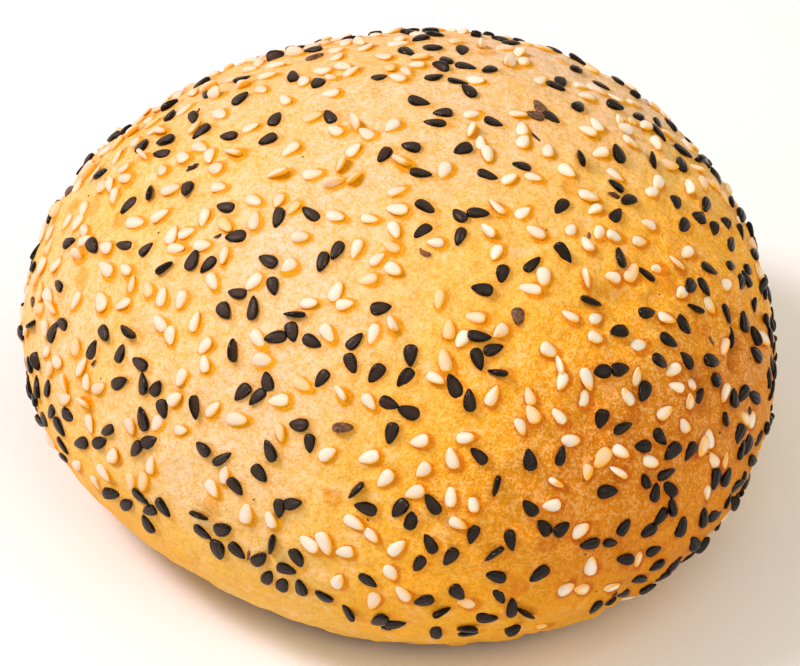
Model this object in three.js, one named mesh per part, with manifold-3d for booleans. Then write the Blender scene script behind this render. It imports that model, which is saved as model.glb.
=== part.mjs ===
// A round bread roll, baked on a flat tray and scattered with black and white sesame seeds.
// Millimetres, +Z up. The roll stands on its flat base at z = 0, with +X along its longer side.
import * as THREE from 'three';
import { mergeVertices } from 'three/addons/utils/BufferGeometryUtils.js';
import Module from 'manifold-3d';

// ---- driving dimensions of the crust ----
const halfLength = 59.5; // along X at the girth
const halfWidth = 55.4; // along Y at the girth
const girthHeight = 22; // the roll is widest at this height
const crownRise = 44.1; // from the girth up to the crown
const footShare = 0.74; // half size of the flat base, as a share of the girth's
const domePower = 2; // 2 is a plain ellipse in side view, more is squarer
const flankPower = 1.9; // the same below the girth
const eggShare = 0.13; // how much wider the +X end is than the -X end
const lobeShare = 0.01; // three soft corners in plan
const lobeTurn = 1.55; // where the first of them points, in radians
const leanX = -1.5; // how far the crown leans from the middle of the girth
const leanY = 4.6;
const centreX = -0.3; // middle of the finished roll in the crust's own coordinates
const centreY = 2.1;
const swellHeight = 0.35; // soft rise and fall of the crust, from proofing and shaping
const crustSides = 42; // facets round the crust
const crustRings = 16; // facets from the crown to the middle of the base

// ---- driving dimensions of one seed ----
const seedLength = 3.25;
const seedWidth = 1.95;
const seedDepth = 1.15;
const seedSpread = 0.09; // how much the seeds differ in size, as a share
const seedTaper = 0.7; // 0 is a plain oval, more is a sharper tip
const taperPeak = 0.82; // the taper curve's own highest value
const seedBulge = 0.15; // shifts the widest part towards the blunt end
const seedSides = 4;
const seedRings = 3;

// ---- how the seeds lie, with thickness in seeds per square centimetre ----
const seedCount = 1130; // all the seeds that were scattered on the roll
const seedGap = 2.4; // two seeds' middles lie no closer than this
const raisedCount = 285; // the seeds that stand out of this solid, largest first
const raisedGap = 5.4; // and how far apart those lie at least
const blackAtRim = 4.1;
const blackAtCrown = 1.7;
const whiteAtRim = 0.9;
const whiteOnDome = 3.9;
const whiteAtCrown = 2.9;
const drift = 0.2; // more seeds landed on one side, as a share
const driftTurn = -2.6; // which side, in radians
const bareHeight = 6; // no seeds stuck below this height
const bareRise = 13; // and none below this much more where the flank was sheltered
const bareTurn = -2; // the sheltered side, in radians
const drawSeed = 20413; // another number scatters the seeds another way
const finestDetail = 0.01; // nothing smaller is kept where seeds and crust join

// ---- the crust ----

// A smooth step from 0 at low to 1 at high.
function rise(low, high, value) {
  const share = Math.min(Math.max((value - low) / (high - low), 0), 1);
  return share * share * (3 - 2 * share);
}

// Soft rise and fall of the crust, as a share of the roll's half length.
function swell(turn, tilt) {
  const long = Math.sin(2 * turn + 1.9 * tilt + 0.6);
  const middle = Math.sin(4 * turn - 3.1 * tilt + 2.2);
  const short = Math.sin(7 * turn + 4.3 * tilt + 4);
  const wave = 0.5 * long + 0.33 * middle + 0.22 * short;
  return swellHeight / halfLength * wave * Math.sin(tilt) ** 2;
}

// The flank's ellipse runs on below the base, which cuts it off at this polar angle.
const flankDepth = girthHeight / (1 - footShare ** flankPower) ** (1 / flankPower);
const footTilt = Math.PI - Math.atan2(footShare, girthHeight / flankDepth);

// A point of the crust. Turn goes round from +X, tilt goes down from the crown at 0.
function crustPoint(turn, tilt) {
  const onDome = tilt <= Math.PI / 2;
  const power = onDome ? domePower : flankPower;
  const depth = onDome ? crownRise : flankDepth;
  const across = Math.abs(Math.sin(tilt));
  const along = Math.cos(tilt);
  const scale = (across ** power + Math.abs(along) ** power) ** (-1 / power);
  const height = Math.max(girthHeight + depth * scale * along, 0);
  const lobes = 1 + lobeShare * Math.cos(3 * (turn - lobeTurn));
  const reach = scale * across * lobes * (1 + swell(turn, tilt));
  const egg = 1 + eggShare * Math.cos(turn);
  const lean = height / (girthHeight + crownRise);
  const x = halfLength * reach * Math.cos(turn) + leanX * lean;
  const y = halfWidth * reach * Math.sin(turn) * egg + leanY * lean;
  return new THREE.Vector3(x - centreX, y - centreY, height);
}

// The crust's own directions at a point, round it and out of it, and how far it is stretched.
function crustFrame(turn, tilt) {
  const step = 0.0001;
  const round = crustPoint(turn + step, tilt).sub(crustPoint(turn - step, tilt));
  const down = crustPoint(turn, tilt + step).sub(crustPoint(turn, tilt - step));
  const out = new THREE.Vector3().crossVectors(down, round);
  const stretch = out.length() / (4 * step * step * Math.sin(tilt));
  return { round: round.normalize(), out: out.normalize(), stretch };
}

// A sphere's facets, bent to the crust. Its last ring but one is the edge of the flat base.
function crustGeometry() {
  const geometry = new THREE.SphereGeometry(1, crustSides, crustRings);
  const point = geometry.attributes.position;
  const footRing = Math.PI * (crustRings - 1) / crustRings;
  for (let i = 0; i < point.count; i += 1) {
    const ring = Math.acos(THREE.MathUtils.clamp(point.getY(i), -1, 1));
    const turn = Math.atan2(-point.getZ(i), point.getX(i));
    const inFoot = ring > footRing * 1.001;
    const tilt = inFoot ? Math.PI : footTilt * ring / footRing;
    point.setXYZ(i, ...crustPoint(turn, tilt));
  }
  return geometry;
}

// ---- the seeds ----

// Repeatable random numbers from 0 to 1.
function makeDraw(start) {
  let state = start;
  return () => {
    state = (state * 16807) % 2147483647;
    return state / 2147483647;
  };
}

// How thickly black and white seeds lie at a height and a turn.
function seedThickness(height, turn) {
  const level = height / (girthHeight + crownRise);
  const crown = rise(0.3, 0.95, level);
  const black = blackAtRim + (blackAtCrown - blackAtRim) * crown;
  const onDome = (whiteOnDome - whiteAtRim) * rise(0.25, 0.68, level);
  const offCrown = (whiteOnDome - whiteAtCrown) * rise(0.78, 0.95, level);
  const white = (whiteAtRim + onDome - offCrown) * (1 + drift * Math.cos(turn - driftTurn));
  const shelter = ((1 + Math.cos(turn - bareTurn)) / 2) ** 5;
  const bare = bareHeight + bareRise * shelter;
  const edge = rise(bare - 2, bare + 4, height);
  return { black: black * edge, white: white * edge };
}

// Scatters the seeds: each has its place on the crust, its colour, its size and its heading.
function scatterSeeds() {
  const draw = makeDraw(drawSeed);
  const thickest = (blackAtRim + whiteOnDome) * 1.05;
  const widest = halfLength * halfWidth * 1.25;
  const seeds = [];
  while (seeds.length < seedCount) {
    const turn = (2 * draw() - 1) * Math.PI;
    const tilt = Math.acos(1 - 1.8 * draw());
    const chance = draw();
    const colour = draw();
    const size = 1 + seedSpread * (draw() + draw() - 1);
    const heading = 2 * Math.PI * draw();
    if (tilt > footTilt) continue;
    const place = crustPoint(turn, tilt);
    const { round, out, stretch } = crustFrame(turn, tilt);
    const { black, white } = seedThickness(place.z, turn);
    if (chance > (black + white) / thickest * stretch / widest) continue;
    if (seeds.some((other) => other.place.distanceTo(place) < seedGap)) continue;
    const isBlack = colour < black / (black + white);
    seeds.push({ place, round, out, isBlack, size, heading });
  }
  return seeds;
}

// The largest seeds that lie well apart.
function raisedSeeds() {
  const raised = [];
  for (const seed of scatterSeeds().sort((a, b) => b.size - a.size)) {
    const crowded = raised.some((other) => other.place.distanceTo(seed.place) < raisedGap);
    if (!crowded && raised.length < raisedCount) raised.push(seed);
  }
  return raised;
}

// One seed: a flattened teardrop, its tip along its heading, half sunk in the crust.
function seedGeometry({ place, round, out, size, heading }) {
  const geometry = new THREE.SphereGeometry(size, seedSides, seedRings);
  const point = geometry.attributes.position;
  for (let i = 0; i < point.count; i += 1) {
    const polar = Math.acos(THREE.MathUtils.clamp(point.getY(i) / size, -1, 1));
    const ring = Math.sin(polar / 2) ** seedTaper / taperPeak;
    const along = Math.cos(polar) - seedBulge * Math.sin(polar) ** 2;
    const side = point.getX(i) * ring * seedWidth / 2;
    const up = point.getZ(i) * ring * seedDepth / 2;
    point.setXYZ(i, side, along * size * seedLength / 2, up);
  }
  const tip = round.clone().applyAxisAngle(out, heading);
  const side = new THREE.Vector3().crossVectors(tip, out);
  geometry.applyMatrix4(new THREE.Matrix4().makeBasis(side, tip, out).setPosition(place));
  return geometry;
}

// ---- joining ----

const wasm = await Module();
wasm.setup();

// A closed solid from a geometry, its vertices merged.
function toSolid(geometry) {
  geometry.deleteAttribute('normal');
  geometry.deleteAttribute('uv');
  const merged = mergeVertices(geometry, 0.00001);
  return new wasm.Manifold(new wasm.Mesh({
    numProp: 3,
    vertProperties: merged.attributes.position.array,
    triVerts: new Uint32Array(merged.index.array),
    tolerance: finestDetail,
  }));
}

function toGeometry(solid) {
  const mesh = solid.getMesh();
  const geometry = new THREE.BufferGeometry();
  geometry.setAttribute('position', new THREE.BufferAttribute(mesh.vertProperties, 3));
  geometry.setIndex(new THREE.BufferAttribute(mesh.triVerts, 1));
  geometry.computeVertexNormals();
  return geometry;
}

// The roll is one solid: its crust, joined with the seeds that stand out of it.
function makeRoll() {
  let solid = toSolid(crustGeometry());
  for (const seed of raisedSeeds()) {
    solid = solid.add(toSolid(seedGeometry(seed)));
  }
  const crust = new THREE.MeshStandardMaterial({ color: 0xe9a655, roughness: 0.55, metalness: 0 });
  const roll = new THREE.Mesh(toGeometry(solid), crust);
  roll.name = 'roll';
  return roll;
}

const breadRoll = new THREE.Group();
breadRoll.add(makeRoll());
export default breadRoll;
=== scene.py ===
import math

import bpy
import numpy as np
from mathutils import Matrix, Vector
from mathutils.bvhtree import BVHTree
from mathutils.kdtree import KDTree


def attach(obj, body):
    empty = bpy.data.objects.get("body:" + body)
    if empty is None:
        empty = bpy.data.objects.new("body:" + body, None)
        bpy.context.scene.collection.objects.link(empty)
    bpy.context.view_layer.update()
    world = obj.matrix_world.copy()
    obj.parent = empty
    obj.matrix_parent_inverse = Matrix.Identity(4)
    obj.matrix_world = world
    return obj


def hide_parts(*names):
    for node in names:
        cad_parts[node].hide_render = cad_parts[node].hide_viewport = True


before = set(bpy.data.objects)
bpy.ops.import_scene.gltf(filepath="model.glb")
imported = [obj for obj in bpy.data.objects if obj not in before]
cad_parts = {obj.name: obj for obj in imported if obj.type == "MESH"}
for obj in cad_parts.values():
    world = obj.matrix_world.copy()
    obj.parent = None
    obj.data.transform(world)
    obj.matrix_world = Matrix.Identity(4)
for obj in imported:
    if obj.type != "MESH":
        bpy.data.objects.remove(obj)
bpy.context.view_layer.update()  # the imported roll, one node on the body "root"
mm = 0.001  # the shape functions below work in millimetres, Blender in metres
tiny = 1e-6  # keeps a sum or a divisor off zero

view = {
    "azimuth": 12.85,  # degrees round the roll from looking along +Y
    "elevation": 39.57,
    "distance": 0.75376,
    "aimHeight": 0.030,
    "aimDown": 0.00289,  # puts the roll a little above the middle of the view
    "aimRight": 0.00022,
    "lens": 217.1,
    "clipStart": 0.01,
    "clipEnd": 20,
}


def makeCamera():
    turn = math.radians(view["azimuth"])
    lift = math.radians(view["elevation"])
    back = Vector((math.sin(turn) * math.cos(lift), -math.cos(turn) * math.cos(lift), math.sin(lift)))
    right = Vector((math.cos(turn), math.sin(turn), 0))
    up = back.cross(right)
    middle = Vector((-crustForm["centreX"] * mm, -crustForm["centreY"] * mm, view["aimHeight"]))
    bpy.ops.object.camera_add(location=middle + back * view["distance"])
    camera = bpy.context.object
    aim = middle - up * view["aimDown"] + right * view["aimRight"]
    camera.rotation_euler = (aim - camera.location).to_track_quat("-Z", "Y").to_euler()
    camera.data.lens = view["lens"]
    camera.data.clip_start = view["clipStart"]
    camera.data.clip_end = view["clipEnd"]
    bpy.context.scene.camera = camera


crustForm = {  # millimetres, as the solid was made
    "halfLength": 59.5,
    "halfWidth": 55.4,
    "girthHeight": 22,
    "crownRise": 44.1,
    "footShare": 0.74,  # half size of the flat base, as a share of the girth's
    "domePower": 2,
    "flankPower": 1.9,
    "eggShare": 0.13,  # how much wider the +X end is than the -X end
    "lobeShare": 0.01,  # three soft corners in plan
    "lobeTurn": 1.55,
    "leanX": -1.5,  # how far the crown leans from the middle of the girth
    "leanY": 4.6,
    "centreX": -0.3,
    "centreY": 2.1,
    "swellHeight": 0.35,
    "swells": (  # share of that height, waves round the roll, slope and start of each
        (0.5, 2, 1.9, 0.6),
        (0.33, 4, -3.1, 2.2),
        (0.22, 7, 4.3, 4),
    ),
    "footRound": 1.6,  # the soft corner between flank and base
    "baseStart": 2.75,  # radians from the top: the mesh is coarse below this, on the flat base
    "cuts": (3, 3, 7),  # rounds of subdividing the cube that the mesh starts as
}
flankDepth = crustForm["girthHeight"] / (
    1 - crustForm["footShare"] ** crustForm["flankPower"]) ** (1 / crustForm["flankPower"])
footTilt = math.pi - math.atan2(crustForm["footShare"], crustForm["girthHeight"] / flankDepth)
fullHeight = crustForm["girthHeight"] + crustForm["crownRise"]


def rise(low, high, value):  # a smooth step from 0 at low to 1 at high
    share = np.clip((value - low) / (high - low), 0, 1)
    return share * share * (3 - 2 * share)


def swell(turn, tilt):  # the soft rise and fall that proofing leaves, as a share of the half length
    wave = sum(
        share * np.sin(waves * turn + slope * tilt + start)
        for share, waves, slope, start in crustForm["swells"])
    return crustForm["swellHeight"] / crustForm["halfLength"] * wave * np.sin(tilt) ** 2


def crustPoint(turn, tilt, footRound=0):  # turn goes round from +X, tilt goes down from the crown
    form = crustForm
    onDome = tilt <= math.pi / 2
    power = np.where(onDome, form["domePower"], form["flankPower"])
    depth = np.where(onDome, form["crownRise"], flankDepth)
    across = np.abs(np.sin(tilt))
    along = np.cos(tilt)
    scale = (across ** power + np.abs(along) ** power) ** (-1 / power)
    height = form["girthHeight"] + depth * scale * along
    height = (height + np.sqrt(height ** 2 + footRound ** 2)) / 2  # levels off at the base
    lobes = 1 + form["lobeShare"] * np.cos(3 * (turn - form["lobeTurn"]))
    reach = scale * across * lobes * (1 + swell(turn, tilt))
    egg = 1 + form["eggShare"] * np.cos(turn)
    lean = height / fullHeight
    x = form["halfLength"] * reach * np.cos(turn) + form["leanX"] * lean - form["centreX"]
    y = form["halfWidth"] * reach * np.sin(turn) * egg + form["leanY"] * lean - form["centreY"]
    return np.stack([x, y, height], axis=-1)


scatter = {  # thickness is in seeds per square centimetre, as on the solid
    "count": 1130,
    "gap": 2.4,
    "sizeSpread": 0.09,
    "blackAtRim": 4.1,
    "blackAtCrown": 1.7,
    "blackThins": (0.3, 0.95),  # between these shares of the height
    "whiteAtRim": 0.9,
    "whiteOnDome": 3.9,
    "whiteAtCrown": 2.9,
    "whiteGrows": (0.25, 0.68),
    "whiteThins": (0.78, 0.95),
    "drift": 0.2,  # more seeds landed on one side, as a share
    "driftTurn": -2.6,  # which side, in radians
    "bareHeight": 6,  # seeds stuck only above this height
    "bareRise": 13,  # and this much higher up where the flank was sheltered
    "bareTurn": -2,  # the sheltered side, in radians
    "bareFocus": 5,  # more makes that side narrower
    "bareEdge": (-2, 4),  # from no seeds to all of them, round that height
    "drawSeed": 20413,
    "drawsEach": 7,  # random numbers for each try
    "tries": 9000,
    "lowestDraw": 1.8,  # 2 would draw places down to the middle of the base
    "thickMargin": 1.05,  # these two keep every chance below 1
    "wideMargin": 1.25,
}


def drawNumbers(state, count):  # the same run of random numbers that placed the solid's seeds
    multiplier = 16807
    modulus = 2147483647
    numbers = []
    for _ in range(count):
        state = state * multiplier % modulus
        numbers.append(state / modulus)
    return np.array(numbers)


def seedThickness(height, turn):
    level = height / fullHeight
    thinning = (scatter["blackAtCrown"] - scatter["blackAtRim"]) * rise(*scatter["blackThins"], level)
    black = scatter["blackAtRim"] + thinning
    onDome = (scatter["whiteOnDome"] - scatter["whiteAtRim"]) * rise(*scatter["whiteGrows"], level)
    offCrown = (scatter["whiteOnDome"] - scatter["whiteAtCrown"]) * rise(*scatter["whiteThins"], level)
    drift = 1 + scatter["drift"] * np.cos(turn - scatter["driftTurn"])
    white = (scatter["whiteAtRim"] + onDome - offCrown) * drift
    shelter = ((1 + np.cos(turn - scatter["bareTurn"])) / 2) ** scatter["bareFocus"]
    bare = scatter["bareHeight"] + scatter["bareRise"] * shelter
    first, last = scatter["bareEdge"]
    edge = rise(bare + first, bare + last, height)
    return black * edge, white * edge


def scatterSeeds():
    draws = drawNumbers(scatter["drawSeed"], scatter["tries"] * scatter["drawsEach"])
    turn, tilt, chance, colour, first, second, heading = draws.reshape(-1, scatter["drawsEach"]).T
    turn = (2 * turn - 1) * math.pi
    tilt = np.arccos(1 - scatter["lowestDraw"] * tilt)
    place = crustPoint(turn, tilt)
    step = 0.0001
    aroundIt = crustPoint(turn + step, tilt) - crustPoint(turn - step, tilt)
    downIt = crustPoint(turn, tilt + step) - crustPoint(turn, tilt - step)
    stretch = np.linalg.norm(np.cross(downIt, aroundIt), axis=1) / (4 * step * step * np.sin(tilt))
    black, white = seedThickness(place[:, 2], turn)
    thickest = (scatter["blackAtRim"] + scatter["whiteOnDome"]) * scatter["thickMargin"]
    widest = crustForm["halfLength"] * crustForm["halfWidth"] * scatter["wideMargin"]
    sticks = (tilt <= footTilt) & (chance <= (black + white) / thickest * stretch / widest)
    kept = []
    for i in np.flatnonzero(sticks):
        near = kept and np.linalg.norm(place[kept] - place[i], axis=1).min() < scatter["gap"]
        if not near and len(kept) < scatter["count"]:
            kept.append(int(i))
    isBlack = colour * (black + white) < black
    size = 1 + scatter["sizeSpread"] * (first + second - 1)
    return place[kept], isBlack[kept], size[kept], heading[kept] * 2 * math.pi


def deselectAll():
    bpy.ops.object.select_all(action="DESELECT")


def unitVector(vectors):
    return vectors / np.linalg.norm(vectors, axis=-1, keepdims=True)


def srgb(red, green, blue):  # a colour given as 0 to 255 on screen, as the shader wants it
    shares = [v / 255 for v in (red, green, blue)]
    return tuple(s / 12.92 if s <= 0.04045 else ((s + 0.055) / 1.055) ** 2.4 for s in shares) + (1,)


def getPoints(piece):
    points = np.empty(len(piece.data.vertices) * 3)
    piece.data.vertices.foreach_get("co", points)
    return points.reshape(-1, 3)


def setPoints(piece, points):
    piece.data.vertices.foreach_set("co", points.astype(np.float32).ravel())
    piece.data.update()


def setAttribute(piece, name, values):
    kind, field = ("FLOAT", "value") if values.ndim == 1 else ("FLOAT_VECTOR", "vector")
    attribute = piece.data.attributes.new(name, kind, "POINT")
    attribute.data.foreach_set(field, values.astype(np.float32).ravel())


def finishPiece(piece, material):
    piece.data.materials.clear()
    piece.data.materials.append(material)
    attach(piece, "root")


class Wire:  # one socket of a material, so that maths on it reads as plain maths
    def __init__(self, paint, socket):
        self.paint = paint
        self.socket = socket

    def math(self, operation, *values):
        return self.paint.node("Math", {"operation": operation}, dict(enumerate(values)))

    def __add__(self, other):
        return self.math("ADD", self, other)

    def __radd__(self, other):
        return self.math("ADD", other, self)

    def __sub__(self, other):
        return self.math("SUBTRACT", self, other)

    def __rsub__(self, other):
        return self.math("SUBTRACT", other, self)

    def __mul__(self, other):
        return self.math("MULTIPLY", self, other)

    def __rmul__(self, other):
        return self.math("MULTIPLY", other, self)

    def __abs__(self):
        return self.math("ABSOLUTE", self)

    def clip(self):
        return self.math("MINIMUM", self.math("MAXIMUM", self, 0.0), 1.0)

    def step(self, low, high):  # a smooth step from 0 at low to 1 at high
        values = {"Value": self, "From Min": low, "From Max": high}
        return self.paint.node("MapRange", {"interpolation_type": "SMOOTHSTEP"}, values, "Result")


class Finish:  # a material, with its Principled shader's fixed values set by name
    def __init__(self, name, fixed):
        self.material = bpy.data.materials.new(name)
        self.material.use_nodes = True
        self.tree = self.material.node_tree
        self.shader = self.tree.nodes["Principled BSDF"]
        for key, value in fixed.items():
            self.feed(self.shader.inputs[key], value)

    def feed(self, socket, value):  # links the socket to a wire, or sets it to a plain value
        if isinstance(value, Wire):
            self.tree.links.new(value.socket, socket)
        else:
            socket.default_value = value

    def node(self, kind, settings=None, inputs=None, output=0):
        made = self.tree.nodes.new("ShaderNode" + kind)
        for name, value in (settings or {}).items():
            setattr(made, name, value)
        for name, value in (inputs or {}).items():
            self.feed(made.inputs[name], value)
        return Wire(self, made.outputs[output])

    def place(self):
        return self.node("TexCoord", output="Object")

    def attribute(self, name, output="Fac"):
        return self.node("Attribute", {"attribute_name": name}, output=output)

    def split(self, vector):  # its x, y and z
        parts = self.node("SeparateXYZ", inputs={"Vector": vector}).socket.node.outputs
        return [Wire(self, part) for part in parts]

    def noise(self, place, size, detail=2.0, roughness=0.5):  # size of its marks in millimetres
        values = {"Vector": place, "Scale": 1 / (size * mm), "Detail": detail, "Roughness": roughness}
        return self.node("TexNoise", inputs=values)

    def cells(self, place, size, output="Distance"):
        values = {"Vector": place, "Scale": 1 / (size * mm)}
        return self.node("TexVoronoi", inputs=values, output=output)

    def mix(self, share, first, second, blend="MIX"):
        settings = {"data_type": "RGBA", "blend_type": blend}
        return self.node("Mix", settings, {0: share, 6: first, 7: second}, output=2)

    def bump(self, height, depth, strength):  # depth in millimetres
        values = {"Height": height, "Distance": depth * mm, "Strength": strength}
        return self.node("Bump", inputs=values)

    def surface(self, colour, roughness, normal):
        for key, value in (("Base Color", colour), ("Roughness", roughness), ("Normal", normal)):
            self.feed(self.shader.inputs[key], value)
        return self.material


crustFinish = {
    "pale": srgb(226, 202, 171),  # the light gold of the palest skin, on the side toward the key light
    "gold": srgb(234, 190, 89),
    "deep": srgb(244, 179, 39),
    "dark": srgb(216, 138, 12),  # where it is darkest: partly baked colour, partly painted shade
    "base": srgb(178, 118, 50),  # the tray side
    "baseHeights": (0.004, 0.0005),  # metres, from the first of it to all of it
    "light": (1.05, 1.12, 1.6, 1),  # light and dark grains, as shares of the colour under them
    "shade": (0.9, 0.8, 0.4, 1),
    "grain": srgb(255, 216, 146),  # pale grains on brown skin
    "grainShare": 0.3,  # how strongly they show
    "halo": (0.88, 0.58, 0.01, 1),  # amber halo beside the seeds, also as shares of the colour under it: partly egg wash round each seed, partly painted shade on the side away from the key light
    "haloDeep": (0.8, 0.52, 0.02, 1),  # and where the skin under it is brown
    "haloClose": (0.9, 0.4),  # millimetres from the seed, from the first of it to all of it
    "haloCloseShare": 0.85,
    "haloFar": (1.5, 0.4),
    "haloFarShare": 0.15,
    "haloUneven": 0.25,
    "haloGloss": -0.08,
    "fold": srgb(170, 92, 20),  # painted shade down in the folds
    "foldShadeShare": 0.75,
    "flour": srgb(253, 224, 196),
    "flourShare": 0.35,
    "fleck": srgb(168, 104, 46),
    "fleckShare": 0.3,
    "fleckSize": 1.3,  # millimetres
    "roughness": 0.5,
    "roughUneven": 0.2,
}
skinPattern = {  # noise over the skin: size of its marks in millimetres, detail and roughness
    "broad": (20, 2.0, 0.5),
    "blotch": (6, 3.0, 0.6),
    "mottle": (2.4, 2.0, 0.6),
    "grain": (0.9, 2.0, 0.6),
    "fine": (0.4, 2.0, 0.6),
    "flour": (3.6, 3.0, 0.6),
}
brownAndShadeMap = {  # how dark and brown the skin is, from 0 at its palest to 1 at its brownest, with lengths in metres; partly the crust's own baked colour, partly painted shade: darker away from the key light, low on the flank and towards the back
    "middle": 0.09,
    "across": 2.4,  # how much less for each metre along X
    "rightFrontGain": 230,  # more towards the right front, by the square of how far; mostly painted shade away from the key light, with some baked colour
    "rightFrontStart": 0.006,  # that starts this far short of the middle
    "low": 0.44,  # more low on the flank, partly painted shade where the skin turns down away from the light
    "lowHeights": (0.03, 0.012),  # from the first of that to all of it
    "lowAtRightFront": 10,  # and how much less of it for each metre towards the right front
    "back": 0.06,  # more towards the back, painted shade along the far rim
    "broad": 0.4,  # unevenness from the patterns
    "blotch": 0.2,
    "gold": (-0.12, 0.42),  # where each colour comes in, from the first of it to all of it
    "deep": (0.28, 0.68),
    "dark": (0.58, 1.02),
}
speckled = {  # how much the patterns lighten and darken the skin
    "fine": 5,
    "grain": 3.8,
    "mottle": 1.3,
    "mottleAbove": 0.7,  # more of it above the low flank, which is smoother
    "blotch": 1.2,
    "lowShare": 0.75,  # of the two finest, low on the flank
    "aboveShare": 0.25,  # more of them above it
    "brownShare": 0.6,  # and more where the skin there is brown
    "heights": (0.012, 0.042),  # metres, between the low flank and the rest
}
skinBump = {
    "grain": 1.2,
    "fine": 0.8,
    "mottle": 1.5,
    "blotch": 2,
    "pale": 0.75,
    "browner": 0.5,  # rougher where it is brown
    "depth": 0.3,  # millimetres
    "strength": 0.75,
}


def makeCrustFinish():
    paint = Finish("crust_baked", {"Specular IOR Level": 0.15})
    place = paint.place()
    x, y, z = paint.split(place)
    broad, blotch, mottle, grain, fine = [
        paint.noise(place, *skinPattern[name]) - 0.5
        for name in ("broad", "blotch", "mottle", "grain", "fine")]

    # darker and browner low on the flank and most at the right front: partly baked colour, partly
    # painted shade away from the key light
    rightFront = (x - y * 0.5 + brownAndShadeMap["rightFrontStart"]).clip()
    low = z.step(*brownAndShadeMap["lowHeights"]) * (brownAndShadeMap["low"] - rightFront * brownAndShadeMap["lowAtRightFront"])
    brownAndShade = brownAndShadeMap["middle"] - x * brownAndShadeMap["across"] + rightFront * rightFront * brownAndShadeMap["rightFrontGain"] + low
    back = (y - x * 0.5).step(-0.012, 0.06) * brownAndShadeMap["back"]
    brownAndShade = brownAndShade + back + broad * brownAndShadeMap["broad"] + blotch * brownAndShadeMap["blotch"]
    colour = crustFinish["pale"]
    for name in ("gold", "deep", "dark"):
        colour = paint.mix(brownAndShade.step(*brownAndShadeMap[name]), colour, crustFinish[name])

    above = z.step(*speckled["heights"])
    brown = brownAndShade.step(0.3, 0.9) * above * speckled["brownShare"]
    finest = speckled["lowShare"] + above * speckled["aboveShare"] + brown
    mottling = mottle * (speckled["mottle"] + above * speckled["mottleAbove"])
    speckle = (fine * speckled["fine"] + grain * speckled["grain"]) * finest
    speckle = speckle + mottling + blotch * speckled["blotch"]
    grains = speckle.clip() * brownAndShade.step(0.2, 0.8) * above * crustFinish["grainShare"]
    colour = paint.mix(grains, colour, crustFinish["grain"])
    colour = paint.mix(speckle.clip(), colour, crustFinish["light"], "MULTIPLY")
    colour = paint.mix((0 - speckle).clip(), colour, crustFinish["shade"], "MULTIPLY")

    # the amber halo round the seeds: partly egg wash, partly painted shade, reaching furthest on the
    # side away from the key light
    reach = paint.attribute("seedReach") + mottle * crustFinish["haloUneven"]
    close = reach.step(*crustFinish["haloClose"]) * crustFinish["haloCloseShare"]
    far = reach.step(*crustFinish["haloFar"]) * crustFinish["haloFarShare"]
    halo = (close + far) * paint.attribute("washAndShade")
    washShadeColour = paint.mix(brownAndShade.step(0.1, 0.7), crustFinish["halo"], crustFinish["haloDeep"])
    colour = paint.mix(halo, colour, washShadeColour, "MULTIPLY")

    floury = paint.noise(place, *skinPattern["flour"]).step(0.54, 0.74)
    floury = floury * (1 - halo) * brownAndShade.step(1.1, 0.3) * crustFinish["flourShare"]
    colour = paint.mix(floury, colour, crustFinish["flour"])
    # painted shade in the folds
    foldShade = paint.attribute("fold") * crustFinish["foldShadeShare"]
    colour = paint.mix(foldShade, colour, crustFinish["fold"])
    spot = paint.cells(place, crustFinish["fleckSize"]).step(0.14, 0.07)
    chosen = paint.cells(place, crustFinish["fleckSize"], "Color").step(0.55, 0.7)  # only some cells
    colour = paint.mix(spot * chosen * crustFinish["fleckShare"], colour, crustFinish["fleck"])
    colour = paint.mix(z.step(*crustFinish["baseHeights"]), colour, crustFinish["base"])

    height = grain * skinBump["grain"] + fine * skinBump["fine"]
    height = height + mottle * skinBump["mottle"] + blotch * skinBump["blotch"]
    uneven = skinBump["pale"] + brownAndShade.step(0.2, 0.9) * skinBump["browner"]
    normal = paint.bump(height * uneven, skinBump["depth"], skinBump["strength"])
    rough = crustFinish["roughness"] + blotch * crustFinish["roughUneven"]
    return paint.surface(colour, rough + halo * crustFinish["haloGloss"], normal)


def makeCrust():
    deselectAll()
    bpy.ops.mesh.primitive_cube_add(size=2)
    crust = bpy.context.object
    crust.name = "crust"
    bpy.ops.object.mode_set(mode="EDIT")
    bpy.ops.mesh.select_all(action="SELECT")
    for cuts in crustForm["cuts"]:
        bpy.ops.mesh.subdivide(number_cuts=cuts)
    bpy.ops.object.mode_set(mode="OBJECT")
    ball = unitVector(np.tan(getPoints(crust) * math.pi / 4))  # spreads the faces evenly over a ball
    turn = np.arctan2(ball[:, 1], ball[:, 0])
    fromTop = np.arccos(np.clip(ball[:, 2], -1, 1))
    tilt = np.interp(fromTop, [0, crustForm["baseStart"], math.pi], [0, footTilt, math.pi])
    points = crustPoint(turn, tilt, crustForm["footRound"])
    points[:, 2] -= points[:, 2].min()
    setPoints(crust, points * mm)
    bpy.ops.object.shade_smooth()
    return crust


relief = {  # Clouds textures: size and full depth in millimetres, and how much deeper where it wrinkled
    "ripple": (11, 0.9, 0.3),
    "dimple": (4.2, 0.6, 1.5),
    "peel": (1.8, 0.2, 1.5),
}
wrinkled = {  # the side where the skin shrank most, in millimetres from the middle
    "alongX": 0.9,
    "alongY": -0.3,
    "from": 5,
    "full": 50,
}
creases = (  # soft folds of the skin: two ends as turn and tilt, width and depth in millimetres
    {"from": (-0.07, 1.12), "to": (-0.20, 1.22), "width": 0.9, "depth": 1.5},
    {"from": (-0.35, 1.11), "to": (-0.38, 1.22), "width": 1.6, "depth": 0.8},
    {"from": (-0.52, 0.74), "to": (-0.34, 0.86), "width": 1.1, "depth": 0.35},
    {"from": (-0.42, 1.30), "to": (-0.20, 1.45), "width": 1.4, "depth": 0.5},
    {"from": (2.20, 0.95), "to": (2.45, 1.10), "width": 1.4, "depth": 0.5},
    {"from": (0.95, 1.10), "to": (1.02, 1.32), "width": 1.1, "depth": 0.7},
)


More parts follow.
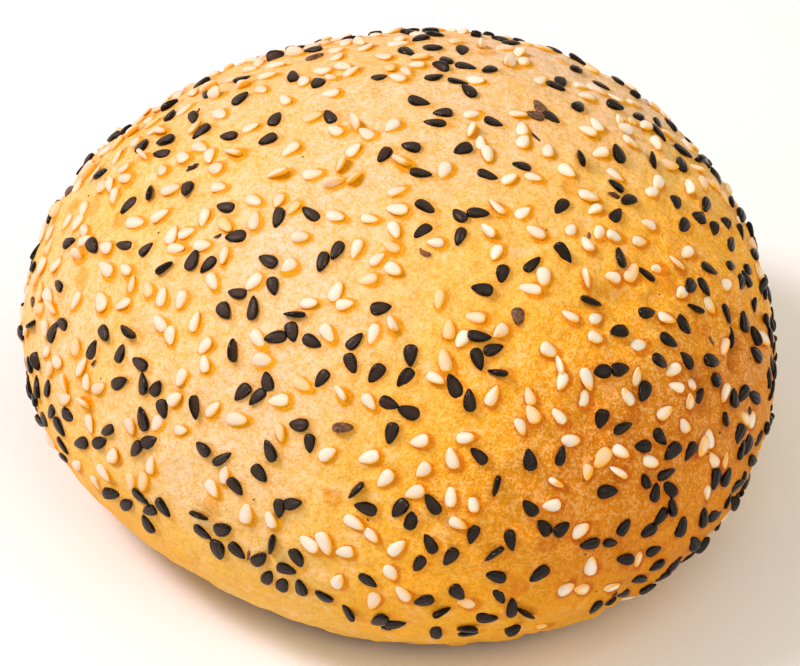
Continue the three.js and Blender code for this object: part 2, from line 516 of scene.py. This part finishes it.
def addRelief(crust):  # the unevenness of the skin, from broad to fine, and its folds
    for name, (size, depth, deeper) in relief.items():
        points = getPoints(crust)
        texture = bpy.data.textures.new(name, "CLOUDS")
        texture.noise_scale = size * mm
        texture.noise_depth = 1
        bpy.ops.object.modifier_add(type="DISPLACE")
        displace = crust.modifiers[-1]
        displace.texture = texture
        displace.texture_coords = "LOCAL"
        displace.strength = depth * mm
        displace.mid_level = 0.5
        bpy.ops.object.modifier_apply(modifier=displace.name)
        side = points[:, 0] * wrinkled["alongX"] + points[:, 1] * wrinkled["alongY"]
        flank = rise(wrinkled["from"] * mm, wrinkled["full"] * mm, side)
        setPoints(crust, points + (getPoints(crust) - points) * (1 + deeper * flank[:, None]))
    points = getPoints(crust)
    middle = np.array([0, 0, crustForm["girthHeight"] * mm])
    fold = np.zeros(len(points))
    for crease in creases:
        start, end = [crustPoint(*np.array(crease[key])) * mm for key in ("from", "to")]
        run = end - start
        share = np.clip((points - start) @ run / (run @ run), 0, 1)
        away = np.linalg.norm(points - start - share[:, None] * run, axis=1)
        dip = np.exp(-(away / (crease["width"] * mm)) ** 2) * crease["depth"]
        points -= unitVector(points - middle) * dip[:, None] * mm
        fold = np.maximum(fold, np.minimum(dip, 1))
    points[:, 2] = np.maximum(points[:, 2], 0)
    setPoints(crust, points)
    setAttribute(crust, "fold", fold)


seedForm = {  # millimetres
    "length": 3.42,
    "width": 2.08,
    "depth": 1.05,
    "bulge": 0.15,  # how far the widest part lies towards the blunt end
    "bluntness": 0.84,  # less than 1 rounds off the ends
    "boxiness": 2.5,  # 2 is a round section, more has a flatter top with fuller shoulders
    "plateau": 0.8,  # less than 1 keeps it thick towards the ends
    "bendShift": 0.4,  # keeps a bent seed over its place
    "segments": 8,
    "rings": 9,
}
seedShapes = {  # taper, bend and plumpness
    "even": (0.5, 0.0, 1.0),
    "bent": (0.55, 0.1, 0.95),
    "bentBack": (0.4, -0.1, 1.05),
    "flat": (0.45, 0.05, 0.85),
    "blunt": (0.28, -0.04, 1.0),
    "round": (0.2, 0.03, 1.0),
}


def lyingBall(segments, rings):  # a ball of radius 1 with its poles along X, as points and faces
    deselectAll()
    bpy.ops.mesh.primitive_uv_sphere_add(
        segments=segments, ring_count=rings, radius=1, rotation=(0, math.pi / 2, 0))
    bpy.ops.object.transform_apply(location=True, rotation=True, scale=True)
    ball = bpy.context.object
    points = getPoints(ball)
    faces = sorted(tuple(face.vertices) for face in ball.data.polygons)  # Blender's order varies
    bpy.data.objects.remove(ball)
    return points, faces


def signedPower(values, power):
    return np.sign(values) * np.abs(values) ** power


def seedOutline(polar, taper):  # along and across the seed, by the angle from its tip
    across = np.sin(polar) * np.sin(polar / 2) ** taper
    along = np.cos(polar) - seedForm["bulge"] * np.sin(polar) ** 2
    halfTurn = np.linspace(0, math.pi, 181)
    widest = (np.sin(halfTurn) * np.sin(halfTurn / 2) ** taper).max()
    return along, (across / widest) ** seedForm["bluntness"]


def seedShape(taper, bend, plump):  # one seed two units long, wide and thick, its tip towards +X
    points, faces = lyingBall(seedForm["segments"], seedForm["rings"])
    turn = np.arctan2(points[:, 2], points[:, 1])
    along, ring = seedOutline(np.arccos(np.clip(points[:, 0], -1, 1)), taper)
    boxy = 2 / seedForm["boxiness"]
    side = ring * signedPower(np.cos(turn), boxy) + bend * (along ** 2 - seedForm["bendShift"])
    up = ring ** seedForm["plateau"] * signedPower(np.sin(turn), boxy) * plump
    return np.stack([along, side, up], axis=1), faces


def joinMeshes(name, parts, tags):  # each part is its points in millimetres and its faces
    points, faces, start = [], [], 0
    for partPoints, partFaces in parts:
        points.append(partPoints)
        faces.extend(tuple(start + v for v in face) for face in partFaces)
        start += len(partPoints)
    data = bpy.data.meshes.new(name)
    data.from_pydata((np.concatenate(points) * mm).tolist(), [], faces)
    piece = bpy.data.objects.new(name, data)
    bpy.context.scene.collection.objects.link(piece)
    for tag, values in tags.items():
        setAttribute(piece, tag, np.concatenate(values))
    deselectAll()
    piece.select_set(True)
    bpy.context.view_layer.objects.active = piece
    bpy.ops.object.shade_smooth()
    return piece


def joinSeeds(name, seeds, shapes):  # copies the shapes to every seed's place, as one mesh
    parts, places, tones = [], [], []
    for seed in seeds:
        unit, faces = shapes[seed["shape"]]
        sized = unit * np.array(seed["size"]) / 2
        turned = sized @ np.array([seed["tip"], seed["side"], seed["up"]])
        parts.append((turned + seed["place"], faces))
        places.append(unit)
        tones.append(np.full(len(unit), seed["tone"]))
    return joinMeshes(name, parts, {"seedPlace": places, "seedTone": tones})


def layDown(surface, place, heading, roll, pitch, lift):  # axes and middle of a seed or a bit of husk
    point, normal, _, _ = surface.find_nearest(Vector(place) * mm)
    out = np.array(normal)
    level = unitVector(np.cross([0, 0, 1], out))
    spin = np.array(Matrix.Rotation(heading, 3, Vector(out)) @ Vector(level))
    side = np.cross(out, spin)
    tip = spin * math.cos(pitch) + out * math.sin(pitch)
    up = np.cross(tip, side)
    rolled = side * math.cos(roll) + up * math.sin(roll)
    return {
        "tip": tip,
        "side": rolled,
        "up": np.cross(tip, rolled),
        "place": np.array(point) / mm + out * lift,
        "foot": np.array(point) / mm,
        "out": out,
        "spin": spin,
        "roll": roll,
    }


seedLay = {  # millimetres, radians and shares
    "drawSeed": 7,
    "onEdge": 0.08,
    "edgeRoll": (0.8, 1.4),
    "edgeLift": 0.3,
    "rollSpread": 0.14,
    "pitchSpread": 0.08,
    "brown": 0.012,
    "covered": 0.035,  # white seeds that the dough closed over
    "lost": 0.03,  # places where a seed fell off and left its print
    "blackLift": 0.28,  # how high the middle of a seed lies over the crust
    "whiteLift": 0.2,
    "liftSpread": 0.1,
    "sizeSpread": (0.05, 0.07, 0.1),  # of length, width and depth
    "whiteShort": 0.9,  # white seeds beside black ones, as shares of length, width and depth
    "whiteWide": 0.97,
    "whiteThin": 0.85,
    "whiteSpread": 0.06,
    "blackShapes": (0, 4),  # from this one of the shapes up to this one, which is left out
    "whiteShapes": (2, 6),
}


def makeSeeds(surface):
    dice = np.random.default_rng(seedLay["drawSeed"])
    seeds = []
    for place, black, size, heading in zip(*scatterSeeds()):
        onEdge = dice.random() < seedLay["onEdge"]
        roll = dice.normal(0, seedLay["rollSpread"])
        if onEdge:
            roll = roll + dice.choice([-1, 1]) * dice.uniform(*seedLay["edgeRoll"])
        pitch = dice.normal(0, seedLay["pitchSpread"])
        lift = seedLay["blackLift" if black else "whiteLift"] + dice.normal(0, seedLay["liftSpread"])
        if onEdge:
            lift = lift + seedLay["edgeLift"]
        seed = layDown(surface, place, heading, roll, pitch, lift)
        longer, wider, thicker = 1 + dice.normal(0, seedLay["sizeSpread"])
        if not black:
            smaller = 1 + dice.normal(0, seedLay["whiteSpread"])
            longer = longer * seedLay["whiteShort"] * smaller
            wider = wider * seedLay["whiteWide"] * smaller
            thicker = thicker * seedLay["whiteThin"]
        seed["size"] = [
            seedForm["length"] * size * longer,
            seedForm["width"] * size * wider,
            seedForm["depth"] * size * thicker,
        ]
        seed["tone"] = dice.random()
        seed["shape"] = int(dice.integers(*seedLay["blackShapes" if black else "whiteShapes"]))
        seed["kind"] = "black" if black else "white"
        chance = dice.random()
        if chance < seedLay["brown"]:
            seed["kind"] = "brown"
        elif not black and not onEdge and chance < seedLay["brown"] + seedLay["covered"]:
            seed["kind"] = "covered"
        elif not black and chance > 1 - seedLay["lost"]:
            seed["kind"] = "lost"
        seeds.append(seed)
    return seeds


mound = {  # the dough that rose round each seed, in millimetres
    "black": 0.18,  # how high it rose
    "white": 0.14,
    "brown": 0.15,
    "covered": 0.5,
    "lost": 0.24,
    "reach": 0.9,  # how far it spreads from the seed's edge
    "taper": 0.25,  # narrower at the seed's tip, as a share
    "lip": 0.35,  # width of the rim round a print that a seed left
    "cover": 1.05,  # size of the dome over a covered seed, as a share of the seed's own
    "search": 3.6,  # how far from its middle a seed acts on the skin
    "far": 4.0,  # the distance given to skin with no seed near it
    "runs": (0.82, 0.0, -0.57),  # the way away from the key light, along which the halo is painted as shade
    "shadeReach": 0.42,  # how much further the halo reaches on that side than beside the seed, as painted shade
}
washAndShade = {  # how strongly the halo of egg wash and painted shade shows round each kind
    "black": 0.55,
    "white": 1.0,
    "brown": 0.6,
    "covered": 0.6,
    "lost": 0.6,
}


def raiseRound(crust, seeds):  # lifts the skin round every seed, and marks how near it lies
    points = getPoints(crust)
    tree = KDTree(len(points))
    for i, point in enumerate(points):
        tree.insert(point, i)
    tree.balance()
    nearest = np.full(len(points), mound["far"])
    held = np.zeros(len(points))
    height = np.zeros(len(points))
    out = np.zeros((len(points), 3))
    shadeWay = np.array(mound["runs"])
    for seed in seeds:
        found = tree.find_range(seed["foot"] * mm, mound["search"] * mm)
        index = np.array([item[1] for item in found], dtype=int)
        away = points[index] / mm - seed["foot"]
        length, width, depth = seed["size"]
        width = width * abs(math.cos(seed["roll"])) + depth * abs(math.sin(seed["roll"]))  # as it lies
        along = away @ seed["spin"] / (length / 2)
        taper = 1 - mound["taper"] * np.clip(along, -1, 1)
        aside = away @ np.cross(seed["out"], seed["spin"]) / (width / 2 * taper)
        radius = np.hypot(along, aside)
        reach = (radius - 1) * width / 2
        rose = mound[seed["kind"]] * (1 - rise(0, mound["reach"], reach))
        if seed["kind"] == "lost":
            rose = mound["lost"] * np.exp(-(reach / mound["lip"]) ** 2)
        if seed["kind"] == "covered":
            rose = mound["covered"] * np.exp(-(radius / mound["cover"]) ** 4)
        height[index] = np.maximum(height[index], rose)
        out[index] += seed["out"] * (rose[:, None] + tiny)
        # the halo reaches further on the side away from the key light, as painted shade
        down = unitVector(shadeWay - seed["out"] * (shadeWay @ seed["out"]))  # that way along the skin
        lee = away @ down / np.maximum(np.linalg.norm(away, axis=1), tiny)
        reach = reach + mound["shadeReach"] * (1 - lee)
        nearer = reach < nearest[index]
        nearest[index[nearer]] = reach[nearer]
        held[index[nearer]] = washAndShade[seed["kind"]]
    lifted = height > 0
    points[lifted] += unitVector(out[lifted]) * height[lifted, None] * mm
    setPoints(crust, points)
    setAttribute(crust, "seedReach", nearest)
    setAttribute(crust, "washAndShade", held)


blackFinish = {
    "hull": srgb(7, 5, 4),  # the glossy rim and sides, near black, partly as painted shade
    "face": srgb(58, 46, 39),  # the flat, duller face, drawn lighter partly as painted sheen
    "brown": srgb(56, 36, 26),  # the face of a few
    "brownShare": 0.7,
    "faceAtRightFront": 0.2,  # how much of the lighter face shows at the right front, away from the key light
    "sheenToKey": 0.45,  # more towards -X, as painted sheen from the key light
    "sheenAbove": 0.35,  # and more again high on the dome there, also painted sheen
    "grain": 0.5,  # millimetres
    "grainHeight": 0.5,
    "ridgeHeight": 0.4,  # the line along the face, beside the rim
    "bumpDepth": 0.16,  # millimetres
    "roughness": 0.22,
}


def makeBlackFinish():
    paint = Finish("sesame_black", {"Specular IOR Level": 0.22})
    place = paint.place()
    x, _, z = paint.split(place)
    along, across, level = paint.split(paint.attribute("seedPlace", "Vector"))
    tone = paint.attribute("seedTone")
    hull = paint.noise(place, blackFinish["grain"])
    edge = abs(across)
    browner = tone.step(0.8, 1.0) * blackFinish["brownShare"]
    face = paint.mix(browner, blackFinish["face"], blackFinish["brown"])
    # the lighter face: partly the seed's own duller face, partly painted sheen, shown more towards the
    # key light and high up
    away = blackFinish["sheenToKey"] + z.step(0.01, 0.05) * blackFinish["sheenAbove"]
    faceSheen = blackFinish["faceAtRightFront"] + x.step(0.045, -0.03) * away
    flat = level.step(0.35, 0.8) * edge.step(0.8, 0.5) * (0.4 + hull + tone * 0.3) * faceSheen
    colour = paint.mix(flat.clip(), blackFinish["hull"], face)
    ridge = edge.step(0.16, 0.02) * along.step(-0.8, 0.2)
    rim = edge.step(0.5, 0.68) * edge.step(0.95, 0.8)
    height = hull * blackFinish["grainHeight"] + ridge * blackFinish["ridgeHeight"] + rim
    normal = paint.bump(height, blackFinish["bumpDepth"], 0.9)
    return paint.surface(colour, blackFinish["roughness"] + flat * 0.2 + hull * 0.12, normal)


whiteFinish = {
    "hull": srgb(238, 239, 229),
    "toast": srgb(235, 205, 182),
    "toneToast": 0.5,  # some seeds are more toasted than others
    "keySideShade": 0.75,  # and rosier towards -X, painted shade that evens out the stronger key light there
    "edge": srgb(250, 190, 48),  # amber up the lower sides: a little egg wash at the skin line, mostly painted shade on the side away from the key light
    "shadeSide": (0.78, 0.05, -0.62),  # which way the shaded side faces, away from the key light
    "grain": 0.8,  # millimetres
    "bumpDepth": 0.1,
    "roughness": 0.4,
}


def makeWhiteFinish():
    paint = Finish("sesame_white", {"Specular IOR Level": 0.4})
    place = paint.place()
    x, _, _ = paint.split(place)
    _, across, level = paint.split(paint.attribute("seedPlace", "Vector"))
    tone = paint.attribute("seedTone")
    hull = paint.noise(place, whiteFinish["grain"])
    # toasted tone at random, plus painted shade towards -X that evens out the stronger key light
    toastAndShade = tone.step(0.35, 1.1) * whiteFinish["toneToast"]
    toastAndShade = toastAndShade + x.step(0.05, -0.05) * whiteFinish["keySideShade"]
    colour = paint.mix(toastAndShade.clip(), whiteFinish["hull"], whiteFinish["toast"])
    # amber on the lower sides: a little egg wash all round, mostly painted shade on the side facing
    # away from the key light
    sides = {0: paint.node("TexCoord", output="Normal"), 1: whiteFinish["shadeSide"]}
    shadeSide = paint.node("VectorMath", {"operation": "DOT_PRODUCT"}, sides, "Value")
    amber = (level + hull * 0.3 - 0.15).step(0.95, 0.4) * (0.15 + shadeSide.step(-0.4, 0.15) * 0.85)
    colour = paint.mix((amber + tone.step(0.78, 1.0) * 0.45).clip(), colour, whiteFinish["edge"])
    normal = paint.bump(hull - abs(across).step(0.5, 0.75) * 0.5, whiteFinish["bumpDepth"], 0.5)
    return paint.surface(colour, whiteFinish["roughness"] + hull * 0.15, normal)


brownFinish = {
    "hull": srgb(128, 92, 64),
    "dark": srgb(70, 44, 30),
    "grain": 0.5,  # millimetres
    "bumpDepth": 0.08,
    "roughness": 0.45,
}


def makeBrownFinish():
    paint = Finish("sesame_brown", {"Specular IOR Level": 0.4})
    hull = paint.noise(paint.place(), brownFinish["grain"], 3.0)
    colour = paint.mix(hull.step(0.35, 0.7), brownFinish["dark"], brownFinish["hull"])
    normal = paint.bump(hull, brownFinish["bumpDepth"], 0.5)
    return paint.surface(colour, brownFinish["roughness"] + hull * 0.2, normal)


chaffFinish = {
    "dark": srgb(44, 18, 13),
    "russet": srgb(132, 78, 52),
    "grain": 0.3,  # millimetres
    "bumpDepth": 0.05,
    "roughness": 0.45,
}


def makeChaffFinish():
    paint = Finish("husk_bits", {"Specular IOR Level": 0.4})
    tone = paint.attribute("seedTone")
    streak = paint.noise(paint.place(), chaffFinish["grain"])
    lighter = (tone + streak - 0.5).step(0.3, 1.0)
    colour = paint.mix(lighter, chaffFinish["dark"], chaffFinish["russet"])
    normal = paint.bump(streak, chaffFinish["bumpDepth"], 0.5)
    return paint.surface(colour, chaffFinish["roughness"] + streak * 0.2, normal)


chaff = {  # bits of husk and stalk among the seeds, in millimetres and radians
    "drawSeed": 19,
    "slivers": 24,
    "crumbs": 50,
    "sliver": (2.0, 0.8, 0.34),
    "crumb": (0.36, 0.28, 0.22),
    "sizeRange": (0.6, 1.25),  # as shares of those
    "fromSeed": (1.9, 3.2),  # how far from a seed's middle they lie
    "rollSpread": 0.4,
    "pitchSpread": 0.12,
    "curl": 0.5,
    "curlShift": 0.5,  # keeps a curled sliver over its place
    "ragged": 0.22,  # how torn the bits are, as a share of their size
    "segments": 6,
    "rings": 6,
}


def makeChaff(surface, seeds):
    dice = np.random.default_rng(chaff["drawSeed"])
    unit, faces = lyingBall(chaff["segments"], chaff["rings"])
    parts, tones = [], []
    for i in range(chaff["slivers"] + chaff["crumbs"]):
        isSliver = i < chaff["slivers"]
        near = seeds[int(dice.integers(0, len(seeds)))]
        angle = dice.uniform(0, 2 * math.pi)
        aside = np.cross(near["out"], near["spin"])
        step = near["spin"] * math.cos(angle) + aside * math.sin(angle)
        spot = near["foot"] + step * dice.uniform(*chaff["fromSeed"])
        full = np.array(chaff["sliver" if isSliver else "crumb"])
        size = full * dice.uniform(*chaff["sizeRange"], 3)
        heading = dice.uniform(0, 2 * math.pi)
        roll = dice.normal(0, chaff["rollSpread"])
        pitch = dice.normal(0, chaff["pitchSpread"])
        laid = layDown(surface, spot, heading, roll, pitch, size[2] / 2)
        bent = unit * (1 + dice.normal(0, chaff["ragged"], (len(unit), 1)))
        if isSliver:
            bent[:, 1] += dice.normal(0, chaff["curl"]) * (bent[:, 0] ** 2 - chaff["curlShift"])
        turned = (bent * size / 2) @ np.array([laid["tip"], laid["side"], laid["up"]])
        parts.append((turned + laid["place"], faces))
        tones.append(np.full(len(unit), dice.random()))
    return joinMeshes("chaff", parts, {"seedTone": tones})


light = {
    "world": 0.68,
    "worldColour": (1.0, 0.83, 0.64),  # a warm bounce all round
    "key": 6.15,
    "keySize": 0.24,
    "keyColour": (1.0, 0.8, 0.84),
    "keyPlace": (-0.56, -0.08, 0.73),
    "fill": 1.8,
    "fillSize": 0.6,
    "fillColour": (1.0, 0.86, 0.72),
    "fillPlace": (0.35, -0.3, 0.65),
    "aimHeight": 0.03,
    "floorSize": 6,
    "floorDrop": 0.0002,  # keeps the floor just clear of the roll's base
    "floorColour": (0.84, 0.92, 1.0, 1),  # cool enough to look white in this warm light
}


def makeStage():
    deselectAll()
    bpy.ops.mesh.primitive_plane_add(size=light["floorSize"], location=(0, 0, -light["floorDrop"]))
    floor = bpy.context.object
    floor.name = "floor"
    paint = Finish("floor_white", {
        "Base Color": light["floorColour"],
        "Roughness": 0.9,
        "Specular IOR Level": 0.1,
    })
    floor.data.materials.append(paint.material)
    world = bpy.data.worlds.new("studio")
    bpy.context.scene.world = world
    world.use_nodes = True
    background = world.node_tree.nodes["Background"]
    background.inputs["Color"].default_value = (*light["worldColour"], 1)
    background.inputs["Strength"].default_value = light["world"]
    for name in ("key", "fill"):
        place = Vector(light[name + "Place"])
        bpy.ops.object.light_add(type="AREA", location=place)
        lamp = bpy.context.object
        lamp.name = name
        lamp.data.size = light[name + "Size"]
        lamp.data.energy = light[name]
        lamp.data.color = light[name + "Colour"]
        aim = Vector((0, 0, light["aimHeight"]))
        lamp.rotation_euler = (aim - place).to_track_quat("-Z", "Y").to_euler()
    bpy.context.scene.view_settings.view_transform = "Standard"


makeCamera()
makeStage()
print("stage set")

crust = makeCrust()
addRelief(crust)
surface = BVHTree.FromPolygons(
    [v.co.copy() for v in crust.data.vertices], [tuple(p.vertices) for p in crust.data.polygons])
print("crust made", len(crust.data.polygons), "faces")

seeds = makeSeeds(surface)
raiseRound(crust, seeds)
finishPiece(crust, makeCrustFinish())
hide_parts("roll")
print("crust raised round", len(seeds), "seeds")

shapes = [seedShape(*form) for form in seedShapes.values()]
finishes = {"black": makeBlackFinish(), "white": makeWhiteFinish(), "brown": makeBrownFinish()}
for kind, finish in finishes.items():
    ofKind = [seed for seed in seeds if seed["kind"] == kind]
    finishPiece(joinSeeds(kind + "_seeds", ofKind, shapes), finish)
    print(len(ofKind), kind, "seeds laid")
finishPiece(makeChaff(surface, seeds), makeChaffFinish())
print(chaff["slivers"] + chaff["crumbs"], "bits of husk laid")
